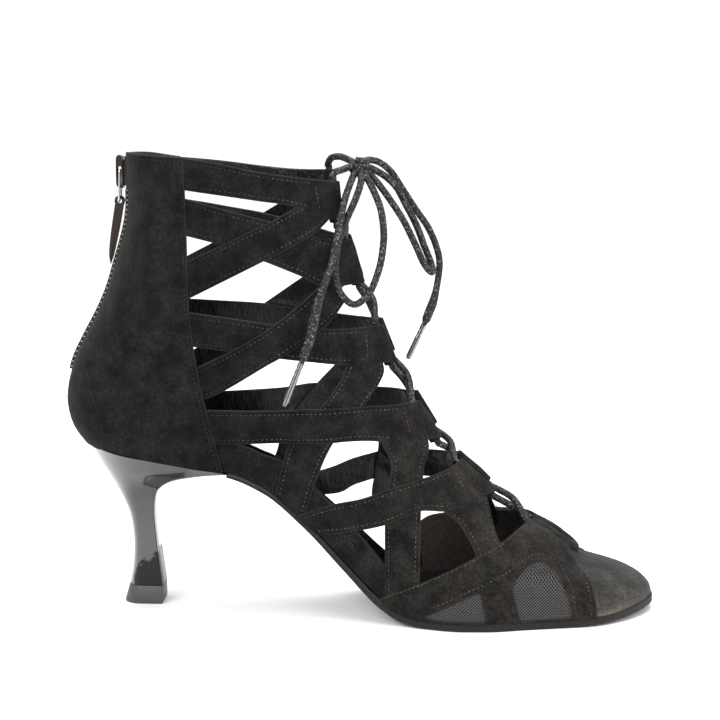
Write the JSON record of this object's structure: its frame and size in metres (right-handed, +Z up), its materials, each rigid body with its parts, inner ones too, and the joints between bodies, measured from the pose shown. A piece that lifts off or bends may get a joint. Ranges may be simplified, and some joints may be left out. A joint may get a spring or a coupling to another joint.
{
  "type": "dance shoe",
  "caption": "Heeled dance boot for the right foot: a cage of crossing suede straps laced over the instep, closed toe cap, zipped counter and a slim flared heel.",
  "frame": {"origin": "centre of the shoe's own box, on the floor", "axes": "+X to the toe, +Y to the inner side of the foot, +Z up"},
  "size_m": [0.2386, 0.08, 0.185],
  "materials": {
    "upper_suede": "black suede, brushed nap",
    "sole_suede": "dark suede sole",
    "footbed_leather": "smooth black leather",
    "heel_lacquer": "gloss black lacquer",
    "top_lift": "moulded, satin",
    "zip_tape": "woven tape",
    "zip_metal": "dark plated",
    "zip_wire": "polished",
    "lace_cord": "waxed braided cord",
    "aglet_metal": "crimped metal"
  },
  "bodies": {
    "shoe": {"outsole": "sole_suede", "insole": "footbed_leather", "heel": "heel_lacquer", "heel_tip": "top_lift", "upper": "upper_suede", "zip_tape": "zip_tape", "zip_slider": "zip_metal", "lace": "lace_cord", "lace_knot": "lace_cord", "lace_loop_a": "lace_cord", "lace_loop_b": "lace_cord", "lace_end_a": "lace_cord", "lace_end_b": "lace_cord", "aglet_a": "aglet_metal", "aglet_b": "aglet_metal"},
    "zip_link": {"zip_link": "zip_wire"},
    "zip_pull": {"zip_pull": "zip_metal"}
  },
  "joints": [
    {"name": "link_swing", "type": "hinge", "parent": "shoe", "child": "zip_link", "pos_m": [-0.0962, 0.00255, 0.1775], "axis": [0, 1, 0], "range_deg": [0, 150]},
    {"name": "pull_swing", "type": "hinge", "parent": "zip_link", "child": "zip_pull", "pos_m": [-0.09665, 0.00255, 0.1652], "axis": [0, 1, 0], "range_deg": [0, 60]}
  ]
}
